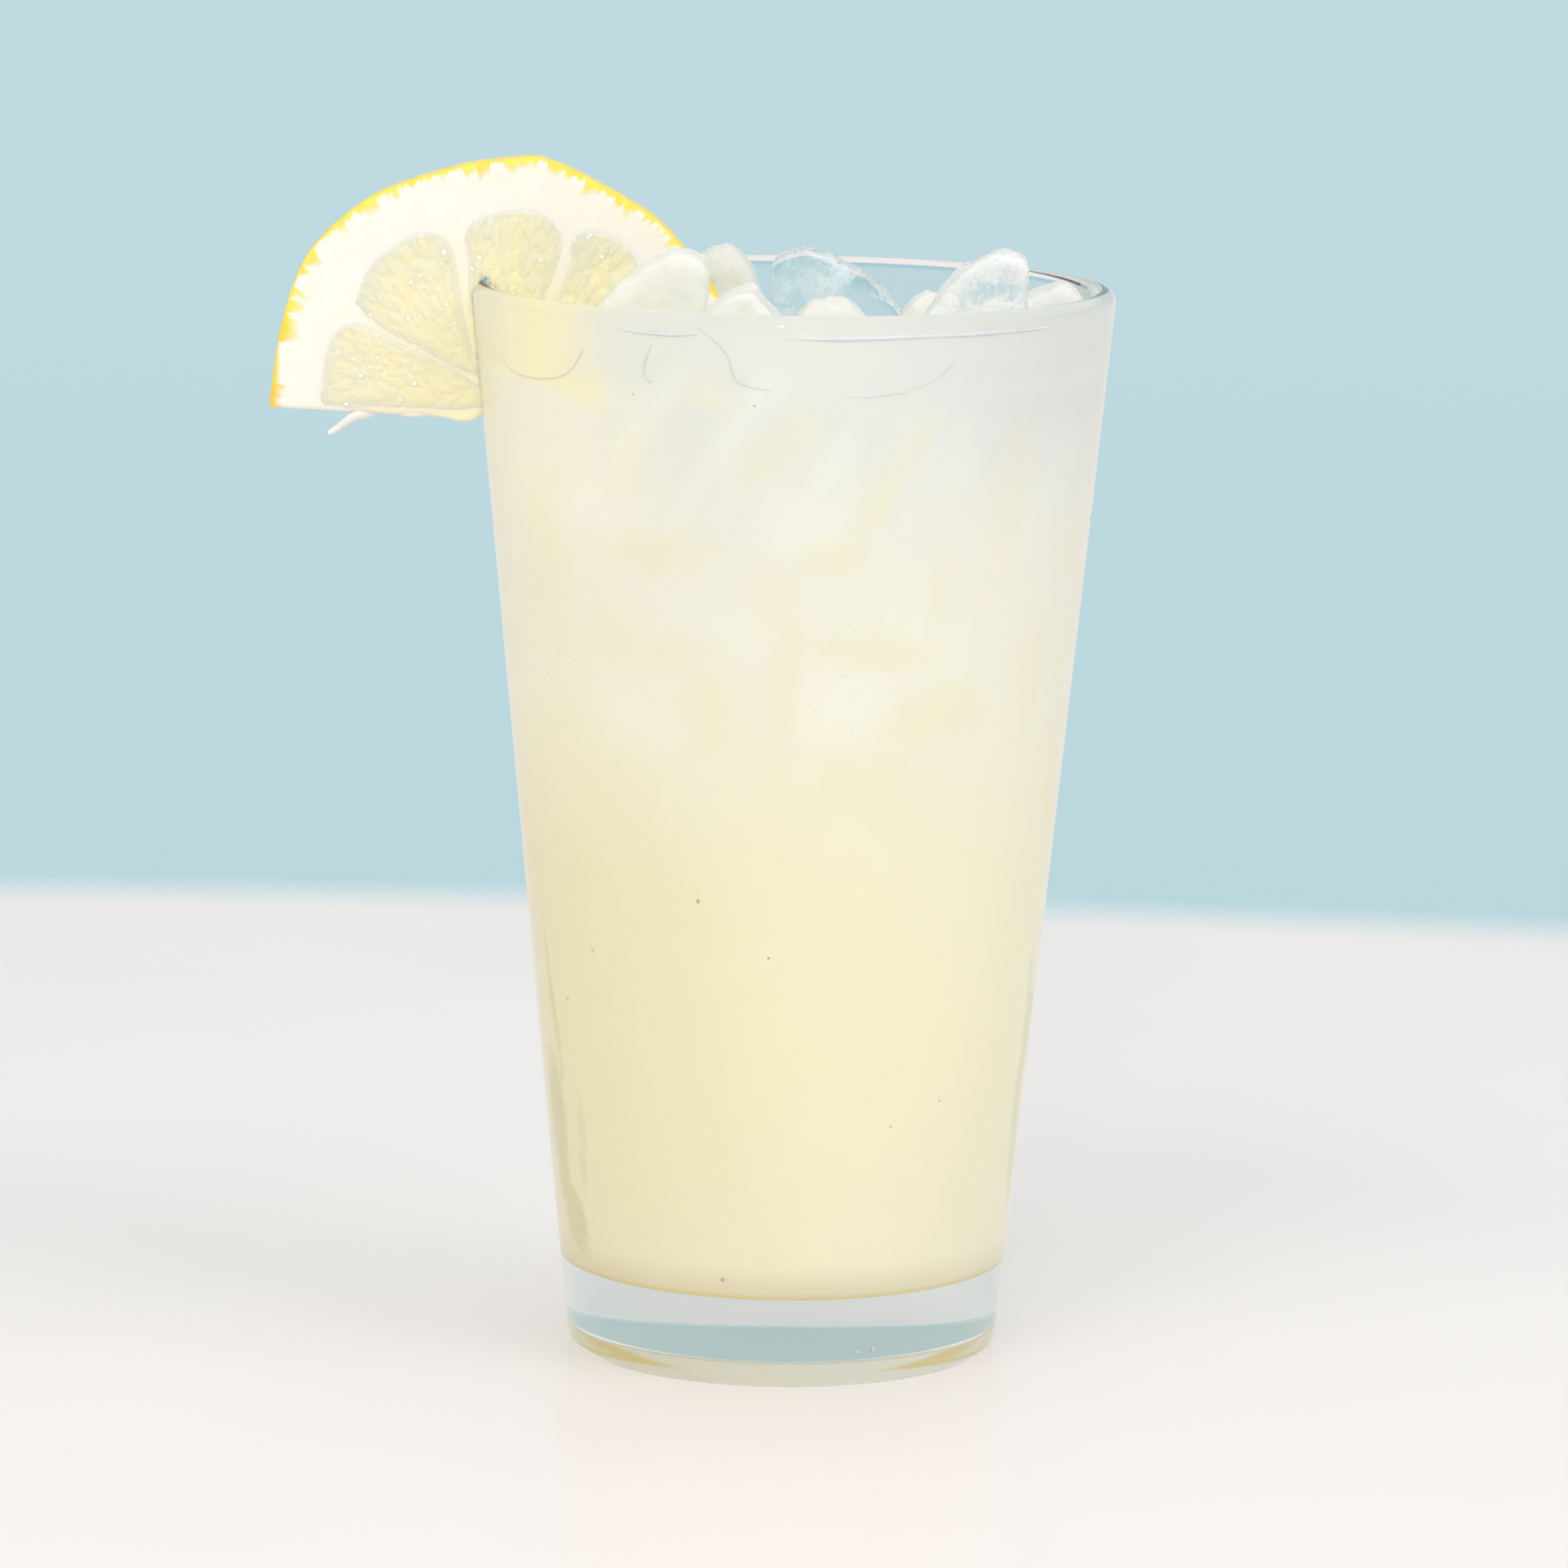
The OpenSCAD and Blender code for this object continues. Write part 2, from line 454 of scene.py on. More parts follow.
def drink_material(name, gloss=False, film=False):
    """Cloudy lemonade, yellow low down and pale where ice crowds it."""
    n = new_material(name)
    place = n.place()
    x, _, z = n.split(place)
    tone = n.ramp(n.span(z, DRINK_BOX[0].z, DRINK_BOX[1].z), DRINK_STOPS)
    # Sunk ice shows as soft lighter and yellower patches, and darker greenish blotches lie near the
    # left and right edges.
    gap, streak, dark_blotch = n.stored("marks")
    tone = n.mix(n.times(streak, 0.38), tone, linear(240, 241, 236))
    tone = n.mix(n.times(gap, 0.36), tone, linear(233, 228, 186))
    tone = n.mix(n.times(dark_blotch, 0.5), tone, linear(203, 200, 152))
    # Painted shade and highlight: a deeper gold line along the bottom edge, and a pale underside
    # that shows as a light line under it.
    flat = n.add("VectorMath", operation="MULTIPLY", i0=place, i1=(1, 1, 0))
    edge = n.span(n.measure("LENGTH", (flat, 0)), 0.0208, 0.0222)
    edge = n.times(edge, n.span(z, 0.0131, 0.0122, 0.0, 0.65))
    tone = n.mix(edge, tone, linear(220, 206, 124))
    tone = n.mix(n.span(z, 0.01205, 0.01195), tone, linear(230, 233, 228))
    # The lemon tints the drink beside it.
    back, lemon, spill = n.stored("cover")
    tone = n.mix(n.times(lemon, 0.9), tone, linear(244, 236, 196))
    tone = n.mix(n.times(spill, 0.5), tone, linear(244, 234, 186))
    # Painted shade and light: deeper and warmer low on the left, lighter above it, lighter under
    # the lemon where it cancels the lemon's cast shadow, and darker and cooler at the top right.
    side = n.span(x, 0.03, -0.04, smooth=True)
    side = n.times(side, n.span(z, 0.1, 0.07, 0.25, 0.85))
    left = n.times(n.span(x, -0.012, -0.034), n.span(z, 0.07, 0.09))
    # Lighter under the lemon: painted light that cancels the shadow the lemon casts on the drink.
    below = n.times(n.span(x, -0.014, -0.03), n.span(z, 0.112, 0.126))
    below = n.times(below, n.span(z, 0.1385, 0.1365))
    corner = n.times(n.span(x, 0.0, 0.035), n.span(z, 0.118, 0.138))
    for share, tint in ((side, (0.965, 0.91, 0.765)), (left, (1.07, 1.06, 1.01)),
                        (below, (1.07, 1.05, 1.0)), (corner, (0.9, 0.91, 0.93))):
        tone = n.mix(share, tone, tint, "MULTIPLY")
    cloud = n.noise(place, 160.0, 3.0)
    tone = n.mix(n.span(cloud, 0.35, 0.75, 0.0, 0.06), tone, linear(250, 246, 220))
    skin = n.skin(tone, 0.12 if gloss else 0.5, IOR=WATER_IOR,
                  Specular_IOR_Level=0.5 if gloss else 0.05,
                  **soft_light(0.0 if film else 0.25, (0.006, 0.005, 0.003)))
    if film:
        drip = n.add("Mapping", Vector=place, Scale=(1.0, 1.0, 0.4))
        broken = n.span(n.noise((drip, 0), 220.0, 3.0, 0.6), 0.3, 0.7, -0.4, 0.4)
        closed = n.math("ADD", n.span(back, 0.0, 1.0, 1.5, -0.5), broken, clamp=True)
        skin = n.blend(closed, n.add("BsdfTransparent"), skin)
    return n.finish(skin)


def ice_material(name, clear, roughness, colour):
    """Wet ice: a clear share and a frosted share that a soft pattern mixes."""
    n = new_material(name)
    place = n.place()
    frost = n.noise(place, 150.0, 3.0, 0.6)
    grain = n.noise(place, 1400.0, 2.0, 0.6)
    mixed = n.math("ADD", frost, n.times(grain, 0.25))
    rough = n.bump(n.math("ADD", grain, frost), 0.35, 0.0005)
    facets = n.bump(n.noise(place, 420.0), 0.55, 0.0012)
    white = n.skin(colour, 0.28, IOR=ICE_IOR, Normal=rough,
                   **soft_light(0.5, (0.004, 0.004, 0.004)))
    wet = n.skin((0.97, 0.985, 0.985), roughness, IOR=ICE_IOR, Transmission_Weight=1.0,
                 Normal=facets)
    middle = 0.38 + 0.5 * clear
    share = n.span(mixed, middle - 0.12, middle + 0.12, 1.0, 0.3, smooth=True)
    return n.finish(let_light_through(n, n.blend(share, white, wet), (0.95, 0.96, 0.96)))


def peel_material():
    """White pith with a thin yellow rind whose inner edge is ragged."""
    n = new_material("lemon_peel")
    place = n.place()
    height = n.split(place)[2]
    along, depth, across = n.stored("rind")
    way = n.add("CombineXYZ", X=along, Y=n.times(depth, 0.25), Z=across)
    teeth = n.span(n.noise((way, 0), 0.5, 2.5, 0.6), 0.46, 0.68, 0.26, 1.9)
    reach = n.math("MAXIMUM", teeth, n.span(height, 0.142, 0.134, 0.0, 0.9))
    yellow = n.span(n.math("DIVIDE", depth, reach), 1.9, 0.2, smooth=True)
    deep = n.span(n.noise(place, 260.0), 0.35, 0.65)
    rind = n.mix(deep, linear(253, 226, 84), linear(252, 214, 48))
    rind = n.mix(n.span(height, 0.143, 0.131), rind, linear(250, 196, 20))
    fibre = n.noise(place, 420.0, 3.0, 0.6)
    pith = n.mix(n.span(fibre, 0.4, 0.75), linear(243, 238, 229), linear(242, 235, 222))
    core = n.measure("DISTANCE", place, (LEMON_CORE[0] * MM, 0, LEMON_CORE[1] * MM))
    core = n.span(core, 0.0265, 0.012, 0.0, 0.85, smooth=True)
    pith = n.mix(core, pith, linear(249, 240, 198))
    pores = n.add("TexVoronoi", Vector=place, Scale=900.0)
    relief = n.math("ADD", n.times((pores, "Distance"), yellow), n.times(fibre, 0.5))
    return n.finish(n.skin(n.mix(yellow, pith, rind), n.span(yellow, 0.0, 1.0, 0.6, 0.32),
                           Normal=n.bump(relief, 0.35, 0.0004),
                           **soft_light(0.3, (0.002, 0.002, 0.001))))


def flesh_material():
    """Wet lemon flesh: pale juice sacs with thin lighter walls between them."""
    n = new_material("lemon_flesh")
    place = n.place()
    cell, border, outward = n.stored("sac")
    inset = n.stored("inset")[0]
    tone = n.mix(n.span(cell, 0.0, 1.0), linear(236, 227, 188), linear(226, 224, 198))
    cloud = n.span(n.noise(place, 170.0, 3.0), 0.48, 0.72, 0.0, 0.6)
    for share, colour in (
            (cloud, (222, 223, 202)),
            (n.span(outward, 0.85, 0.15), (241, 232, 190)),
            (n.span(border, 0.16, 0.02, 0.0, 0.6), (248, 241, 208)),
            # Near each segment's outline: the pale membrane, made lighter still as painted light
            # that cancels the shade of the groove along the peel.
            (n.span(inset, 1.0, 0.2, 0.0, 0.95, smooth=True), (253, 250, 228))):
        tone = n.mix(share, tone, linear(*colour))
    wet = n.bump(n.noise(place, 800.0, 2.0, 0.6), 0.4, 0.0005)
    # The faint emission is painted light: a glow that lifts the shade inside the slit and on the
    # slice's lower part.
    return n.finish(n.skin(tone, 0.16, IOR=1.36, Normal=wet, Emission_Strength=0.03,
                           Emission_Color=(*linear(240, 232, 180), 1),
                           **soft_light(0.5, (0.004, 0.0035, 0.0015))))


def plain_material(name, colour, roughness, spread=0.12):
    """One colour with a slight uneven tone."""
    n = new_material(name)
    uneven = n.span(n.noise(n.place(), 300.0, 3.0), 0.35, 0.65)
    tone = n.mix(uneven, linear(*colour), tuple(c * (1 - spread) for c in linear(*colour)))
    return n.finish(n.skin(tone, roughness))


def droplet_material(name):
    """Clear water."""
    n = new_material(name)
    skin = n.skin((1, 1, 1), 0.02, IOR=WATER_IOR, Transmission_Weight=1.0)
    return n.finish(let_light_through(n, skin, (0.99, 0.99, 0.99)))


# ------------------------------------------------------------------- settings


class LEMONADE_PG_glass(PropertyGroup):
    """Sizes and tint of the tumbler."""

    steps: IntProperty(
        name="Sides", description="Steps round the tumbler", default=160, min=48, max=256)
    tint: FloatVectorProperty(name="Tint", description="Colour of the glass", subtype="COLOR",
                              default=(0.985, 0.99, 0.985), min=0, max=1)


class LEMONADE_PG_drink(PropertyGroup):
    """How the drink meets the glass."""

    reach: FloatProperty(name="Reach", description="How far the drink reaches into the wall",
                         default=0.00015, unit="LENGTH", min=0, max=0.001)
    meniscus: FloatProperty(name="Meniscus", description="How far the surface climbs the wall",
                            default=0.0012, unit="LENGTH", min=0, max=0.003)


class LEMONADE_PG_lemon(PropertyGroup):
    """Detail of the lemon slice."""

    grain: FloatProperty(name="Grain", description="Mesh size on the slice", default=0.00036,
                         unit="LENGTH", min=0.0002, max=0.002)
    bulge: FloatProperty(name="Bulge", description="How far the juice sacs stand out",
                         default=0.0003, unit="LENGTH", min=0, max=0.001)


class LEMONADE_PG_ice(PropertyGroup):
    """How far the ice has melted."""

    grain: FloatProperty(name="Grain", description="Mesh size on the ice", default=0.0005,
                         unit="LENGTH", min=0.0003, max=0.002)
    melt: IntProperty(name="Melt", description="Rounding passes on the ice", default=22, min=0,
                      max=200)


class LEMONADE_PG_stage(PropertyGroup):
    """Floor, light and camera."""

    floor: FloatVectorProperty(name="Floor", description="Floor colour", subtype="COLOR",
                               default=(0.88, 0.835, 0.825), min=0, max=1)
    lens: FloatProperty(name="Lens", description="Focal length of the camera in millimetres",
                        default=182.535, min=20, max=400)


SETTINGS = {
    "lemonade_glass": LEMONADE_PG_glass,
    "lemonade_drink": LEMONADE_PG_drink,
    "lemonade_lemon": LEMONADE_PG_lemon,
    "lemonade_ice": LEMONADE_PG_ice,
    "lemonade_stage": LEMONADE_PG_stage,
}

# ------------------------------------------------------------------ operators


class LEMONADE_OT_glass(Operator):
    """Add the tumbler"""

    bl_idname = "lemonade.add_glass"
    bl_label = "Tumbler"

    def execute(self, context):
        settings = context.scene.lemonade_glass
        foot_mid = outer_radius(FOOT_ROUND) - FOOT_ROUND / math.cos(math.radians(LEAN_OUT))
        section = [(HOLLOW_REACH * i / 8, HOLLOW_TOP) for i in range(9)] + HOLLOW_EDGE
        section += arc((foot_mid, FOOT_ROUND), FOOT_ROUND, -90, -LEAN_OUT, 12)
        rim = arc(RIM_ROUND[:2], RIM_ROUND[2], -LEAN_OUT, 180 - LEAN_IN, 26)
        section += line(section[-1], rim[0], 30) + rim
        inner = arc(FLOOR_ROUND[:2], FLOOR_ROUND[2], -LEAN_IN, -90, 14)
        section += line(rim[-1], inner[0], 30) + inner
        section += line(inner[-1], (0, FLOOR_TOP), 6) + [(0, FLOOR_TOP)]
        obj = lathe("tumbler", section, settings.steps)
        finish_piece(obj, "glass", glass_material(settings.tint), "glass")
        return {"FINISHED"}


# How far the film stands off the rim's round and off the wall, and how far the meniscus reaches.
FILM_OUT, FILM_IN, MENISCUS_REACH = 0.00006, 0.00035, 0.0022


class LEMONADE_OT_drink(Operator):
    """Pour the lemonade"""

    bl_idname = "lemonade.pour_drink"
    bl_label = "Lemonade"

    def execute(self, context):
        settings = context.scene.lemonade_drink
        reach, climb = settings.reach, settings.meniscus
        level = DRINK_BOX[1].z
        wall = inner_radius(level) + reach
        bottom = (0, FLOOR_TOP - reach)
        corner = arc(FLOOR_ROUND[:2], FLOOR_ROUND[2] + reach, -90, -LEAN_IN, 14)
        section = [bottom] + line(bottom, corner[0], 6) + corner
        # A thin film climbs the wall and folds over the rim's inner round.
        outside, inside = (arc(RIM_ROUND[:2], size, 174, 118, 9)
                           for size in (RIM_ROUND[2] - reach, RIM_ROUND[2] + FILM_OUT))
        section += line(corner[-1], outside[0], 160) + outside + inside[::-1]
        film = (inner_radius(level + climb) - FILM_IN, level + climb)
        section += line(section[-1], film, 24) + [film]
        for share in (0.12, 0.3, 0.5, 0.72, 1.0):
            section.append((film[0] - MENISCUS_REACH * share, level + climb * (1 - share) ** 2.4))
        section += line(section[-1], (0, level), 14) + [(0, level)]
        obj = lathe("drink", section, 300)
        points = get_points(obj)
        flat = np.abs(points[:, 2] - level / MM) < 0.01
        radius = np.hypot(points[:, 0], points[:, 1])
        calm = np.clip((wall / MM - 1.5 - radius) / 4.0, 0, 1)
        wave = 0.35 * np.sin(points[:, 0] * 0.55 + 1.0) * np.sin(points[:, 1] * 0.48)
        points[:, 2] += np.where(flat, wave * calm, 0)
        set_points(obj, points)
        self.mark_sides(obj, points)
        self.mark_film(obj, points)
        finish_piece(obj, "lemonade", drink_material("lemonade_side"), "lemonade")
        obj.data.materials.append(drink_material("lemonade_top", gloss=True))
        obj.data.materials.append(drink_material("clinging_film", film=True))
        for face in obj.data.polygons:
            if face.center.z > level + climb * 0.5:
                face.material_index = 2
            elif face.normal.z > 0.5 and face.center.z > level - 0.002:
                face.material_index = 1
        return {"FINISHED"}

    @staticmethod
    def mark_film(obj, points):
        """Store how far round to the back a point is and how near the lemon."""
        x, y, z = points.T
        turn = np.abs(np.degrees(np.arctan2(x, -y)))
        lemon = np.exp(-((x + 33) / 6.0) ** 2) * (y < 0) * np.clip((z - 137.0) / 1.5, 0, 1)
        spill = np.exp(-((x + 27) / 3.2) ** 2 - ((z - 137.6) / 2.6) ** 2) * (y < 0)
        spill += 0.6 * np.exp(-((x + 11) / 3.0) ** 2 - ((z - 138.0) / 2.0) ** 2)
        store(obj, "cover", [np.clip((turn - 85) / 30, 0, 1), lemon, np.clip(spill, 0, 1)])

    @staticmethod
    def mark_sides(obj, points):
        """Store how much a point shows a gap in the sunk ice, a streak of it or a darker blotch
        near the edges.
        """
        turn = np.degrees(np.arctan2(points[:, 0], -points[:, 1]))
        height = points[:, 2]
        draw = random.Random(5)
        gaps = list(ICE_GAPS)
        for _ in range(34):
            place = draw.uniform(75, 285)
            place = place - 360 if place > 180 else place
            gaps.append((place, draw.uniform(80, 132), draw.uniform(3, 8), draw.uniform(2, 6),
                         draw.uniform(-0.6, 0.6), draw.uniform(0.4, 1.0)))
        wobble = np.sin(turn * 0.31 + height * 0.45) + np.sin(turn * 0.83 - height * 0.7 + 1)
        fine = np.sin(turn * 1.7 + height * 1.3) * np.sin(height * 1.9 - turn * 0.8)
        marks = []
        for spots, soft, rough in ((gaps, 0.9, wobble * 0.16), (ICE_STREAKS, 0.9, wobble * 0.16),
                                   (DARK_EDGE_BLOTCHES, 0.3, fine * 0.22)):
            total = np.zeros(len(points))
            for place, level, wide, tall, lean, strength in spots:
                across = (turn - place + 180) % 360 - 180
                up = height - level
                reach = np.hypot((across - lean * up) / (1.25 * wide), up / (1.35 * tall))
                shown = np.clip((1 - reach - rough) / soft + 0.5, 0, 1)
                total = np.maximum(total, strength * shown)
            marks.append(total)
        store(obj, "marks", marks)


# Soft marks on the drink's side: turn from the front in degrees, height in millimetres,
# half width in degrees, half height, lean in degrees per millimetre and strength.
ICE_GAPS = [
    (8.9, 116.4, 6.2, 1.7, 0.6, 1), (18.1, 103.2, 8.1, 1.9, -1.6, 1),
    (33, 94.3, 8.6, 2.6, 0.8, 1), (21.5, 83.9, 4, 3.6, 0, 1), (14, 85.2, 5, 2.4, 0, 0.6),
    (-0.9, 101.4, 2.6, 5.2, 0.1, 0.9), (-3, 110.6, 4.2, 3.8, 0, 0.7),
    (-17.3, 96, 3.7, 4.4, 0, 0.8), (-23.1, 102.7, 6.5, 1.9, 0, 0.8),
    (-26.8, 116.4, 8.7, 1.9, 0.1, 0.9), (-3.2, 130.9, 3.8, 3.2, 0.9, 0.8),
    (17.4, 124.5, 3, 6.5, 0.9, 0.9), (-38, 103.9, 9.5, 2.6, 0, 0.6),
    (46.6, 120.6, 4.4, 8.8, 0.2, 0.6), (-57, 113.5, 5.3, 9, 0, 0.7),
    (-33, 128.5, 3, 3.5, 0.8, 0.6), (60, 100, 6, 5, 0.3, 0.5), (32, 110, 3, 6, 0, 0.5),
]
ICE_STREAKS = [
    (-31.6, 131.5, 2.6, 7, 1, 1), (-12, 132, 3, 7.5, 1, 1), (8, 128.5, 3, 5, 0.7, 0.8),
    (3, 121, 9, 3.6, 0.5, 0.8), (-42, 122, 9, 3, 0.2, 0.8), (12, 96, 9, 3.4, 0, 0.7),
    (-33, 92, 10, 4, 0.2, 0.6), (-16, 106.5, 10, 3, 0.3, 0.7), (30, 130, 8, 5, 0.3, 0.6),
    (35, 103, 9, 4, -0.5, 0.5), (-20, 84, 8, 5, 0.4, 0.4), (58, 127, 9, 5, 0.2, 0.6),
]
# Darker greenish blotches near the drink's left and right edges.
DARK_EDGE_BLOTCHES = [
    (-77, 34.5, 4.6, 6.5, 0, 1), (-76.2, 25.2, 3.6, 3, 0, 1), (-71, 20.2, 5.2, 3.4, -0.5, 1),
    (-73.6, 55, 1.1, 4, -0.12, 0.6), (-72.6, 49.5, 1.3, 3, -0.2, 0.8),
    (-71.4, 45.5, 1.4, 2, -0.1, 0.7), (-71.2, 41.6, 1.2, 1.6, 0, 0.6),
    (-62.5, 33, 1.4, 4, 0, 0.35), (-63.5, 27.8, 1.2, 2.2, 0, 0.45), (84, 47, 3.2, 4, 0, 1),
    (82, 38.5, 2.6, 5.5, 0.2, 0.9), (84, 29, 3, 6, -0.2, 0.8), (80, 54, 1.6, 3, 0, 0.6),
]


class LEMONADE_OT_details(Operator):
    """Add the contact lines, pulp, bubbles and droplets"""

    bl_idname = "lemonade.add_details"
    bl_label = "Pulp, bubbles and droplets"

    def execute(self, context):
        self.contact_lines()
        self.pulp()
        self.bubbles()
        self.droplets()
        return {"FINISHED"}

    @staticmethod
    def on_wall(turn, height, inset, line=inner_radius):
        """A point at a turn from the front in degrees, a height and a gap past a wall line."""
        radius, turn = line(height * MM) / MM + inset, math.radians(turn)
        return Vector((radius * math.sin(turn), -radius * math.cos(turn), height))

    def contact_lines(self):
        """Thin lines where ice and lemon touch the wall, and bluish-white streaks under the rim
        that are painted highlight along the foot of the rim bead.
        """
        for name, lines, colour, gloss, inset, radius in (
                ("contact_line", CONTACT_LINES, (222, 224, 213), 0.4, 0.24, 0.09),
                ("rim_highlight_streak", RIM_HIGHLIGHT_STREAKS, (228, 232, 234), 0.3, 0.2, 0.3)):
            tone = plain_material(name, colour, gloss)
            for number, spots in enumerate(lines, 1):
                route = [(*self.on_wall(turn, height, inset), size)
                         for turn, height, size in spots]
                finish_piece(strand("%s_%d" % (name, number), route, radius), "lemonade", tone)

    def pulp(self):
        """Dark specks of peel against the wall."""
        draw = random.Random(21)
        spots = []
        for number in range(len(SPECKS) + 40):
            if number < len(SPECKS):
                turn, height, size = SPECKS[number]
            else:
                turn, height = draw.uniform(60, 300), draw.uniform(20, 125)
                size = draw.uniform(0.06, 0.18)
            place = self.on_wall(turn, height, 0.12)
            spots.append((place, Vector((place.x, place.y, 0)), size, 0.3, draw.random()))
        tone = plain_material("peel_speck", (186, 176, 128), 0.5)
        scatter("pulp_specks", spots, "lemonade", tone)

    def bubbles(self):
        """Small bubbles on the surface, thickest along the wall."""
        draw = random.Random(8)
        level = DRINK_BOX[1].z / MM
        spots = []
        for _ in range(240):
            turn = draw.uniform(0, 360)
            size = draw.choice((0.25, 0.35, 0.5, 0.7))
            inset = abs(draw.gauss(0, 3.0)) + size
            place = self.on_wall(turn, level, -inset)
            place.z += 0.9 if inset < 1.2 else 0.3
            spots.append((place, Vector((0, 0, 1)), size, 0.8, draw.random()))
        scatter("surface_bubbles", spots, "lemonade", droplet_material("bubble_skin"))

    def droplets(self):
        """Fine mist of droplets on the outer wall and a few larger ones."""
        draw = random.Random(33)
        drops = []
        for _ in range(110):
            turn, height = draw.gauss(12, 6), draw.uniform(92, 140)
            drops.append((turn, height, draw.uniform(0.05, 0.11), draw.random()))
        for _ in range(220):
            turn, height = draw.uniform(-180, 180), draw.uniform(30, 142)
            drops.append((turn, height, draw.uniform(0.04, 0.12), draw.random()))
        drops += [(*drop, draw.random()) for drop in DROPS]
        spots = []
        for turn, height, size, seed in drops:
            place = self.on_wall(turn, height, size * -0.05, outer_radius)
            normal = Vector((place.x, place.y, -OUTER_LINE[1] * math.hypot(place.x, place.y)))
            spots.append((place, normal, size, 0.3, seed))
        scatter("wall_droplets", spots, "glass", droplet_material("water_drop"))


# Contact lines on the wall: turn from the front, height and thickness of each point.
CONTACT_LINES = [
    [(-70.1, 141.3, 0.3), (-66.7, 139.1, 0.8), (-61.9, 138.3, 1), (-54.9, 138.3, 1),
     (-47.6, 138.9, 1.1), (-44.2, 140.7, 0.8), (-41.9, 143.2, 0.3)],
    [(-26.8, 144.4, 0.5), (-27.9, 142.8, 0.9), (-28.9, 141.3, 1), (-28.5, 140, 1.2),
     (-26.9, 139.5, 1)],
    [(-17.5, 147, 0.2), (-13.5, 145.2, 0.6), (-11.1, 142.8, 0.5), (-11.3, 140.1, 0.9),
     (-7.1, 139.2, 1.2), (3.5, 138.2, 1), (12.6, 138.1, 1), (18.9, 138.3, 1),
     (25.3, 139.4, 0.5), (29.3, 141.1, 0.3), (31.7, 143.2, 0.2)],
]
# Painted highlight along the foot of the rim bead: turn from the front, height and thickness of
# each point.
RIM_HIGHLIGHT_STREAKS = [
    [(-1, 146.1, 0.2), (5, 145.9, 0.9), (10, 146.1, 1.2), (16, 146, 0.8), (21, 146.2, 1.1),
     (27, 146.1, 0.4), (33, 146.1, 0.9), (38, 146.3, 1.3), (45, 146.2, 0.6), (50, 146.2, 1),
     (55, 146.4, 0.2)],
    [(-34, 146.4, 0.2), (-30, 146.2, 0.9), (-26, 146, 0.6), (-22, 146, 1), (-18, 146.2, 0.2)],
]
# Specks in the drink: turn, height and size.
SPECKS = [
    (-16.6, 15.1, 0.26), (-20.6, 68.5, 0.3), (-4, 61, 0.22), (42.6, 39.7, 0.2),
    (-63.9, 51.7, 0.25), (28.2, 36.8, 0.18), (-50.2, 44.9, 0.12), (-7.1, 136.9, 0.2),
    (-31.2, 137.7, 0.2), (-33, 139, 0.16),
]
# Larger droplets on the outer wall: turn, height and size.
DROPS = [
    (86, 117.6, 0.4), (20, 5.2, 0.35), (24.5, 5.4, 0.4), (33, 5, 0.3), (-48, 60, 0.35),
    (140, 95, 0.7), (-130, 75, 0.6), (171, 50, 0.8),
]

# The slice in the XZ plane, in millimetres: the wheel's middle, the peel's outline, whose first
# points are the rind, the segments' outlines, and the width and length of a juice sac.
LEMON_CORE = (-41.3, 133.2)
RIND_POINTS = 21
SAC_WIDTH, SAC_LENGTH = 0.85, 2.6
PEEL_OUTLINE = [
    (-72, 131.4), (-71.9, 133), (-71.4, 137), (-70.6, 142), (-68.5, 149.2), (-65.6, 154.2),
    (-60.2, 159.1), (-55, 162), (-46.7, 164.7), (-42, 165.6), (-36.4, 166.2), (-34.6, 166),
    (-30.6, 164.5), (-24.3, 161.2), (-18.9, 157.8), (-14.6, 153.2), (-11.4, 149), (-9.2, 144.6),
    (-7.7, 139.5), (-7.2, 134), (-7.5, 131.2), (-8.5, 130.6), (-20, 130.6), (-34, 130.6),
    (-42.9, 130.6), (-43.9, 129.9), (-46.2, 129.7), (-48.6, 130.3), (-58.8, 130.8),
    (-68, 131.2), (-71.6, 131.35),
]
SEGMENTS = [
    [(-64.6, 131.5), (-65, 134.8), (-64.6, 138.4), (-63.4, 141.6), (-61.2, 143.5),
     (-59.4, 143.3), (-53.7, 140.7), (-48.7, 138.3), (-43.8, 135.5), (-42.5, 133.5),
     (-43.5, 131.3), (-55, 131.3)],
    [(-60.1, 145.3), (-60.2, 147.2), (-58.3, 151.4), (-54.5, 154.6), (-50.8, 156.1),
     (-48.4, 155.7), (-46.6, 153.6), (-45.9, 150), (-44.9, 144), (-43.2, 138), (-42.4, 135.7),
     (-45.2, 136.3), (-50.9, 139.2), (-56.1, 141.9)],
    [(-45, 152), (-45.5, 155.4), (-43.8, 157.9), (-39, 159.2), (-34.8, 158.9), (-32.3, 157),
     (-31.6, 154), (-32.9, 149.5), (-36.1, 142), (-39.9, 135.8), (-41.6, 135.5), (-43.7, 141.5),
     (-44.9, 147.5)],
    [(-31.2, 151.2), (-31, 154.2), (-30, 156), (-27.2, 156.5), (-23.8, 155.2), (-20.9, 152.2),
     (-18.9, 148.8), (-19.2, 146.4), (-24, 142.5), (-32, 137.6), (-38.8, 134.2), (-39.4, 135.2),
     (-35.6, 142.2)],
    [(-18.6, 145.2), (-16.4, 143), (-14.6, 138.5), (-14, 133.6), (-14.6, 131.4), (-27, 131.3),
     (-38.8, 131.4), (-39.4, 132.6), (-37.6, 133.8), (-31.4, 136.8), (-23.6, 141.4)],
]


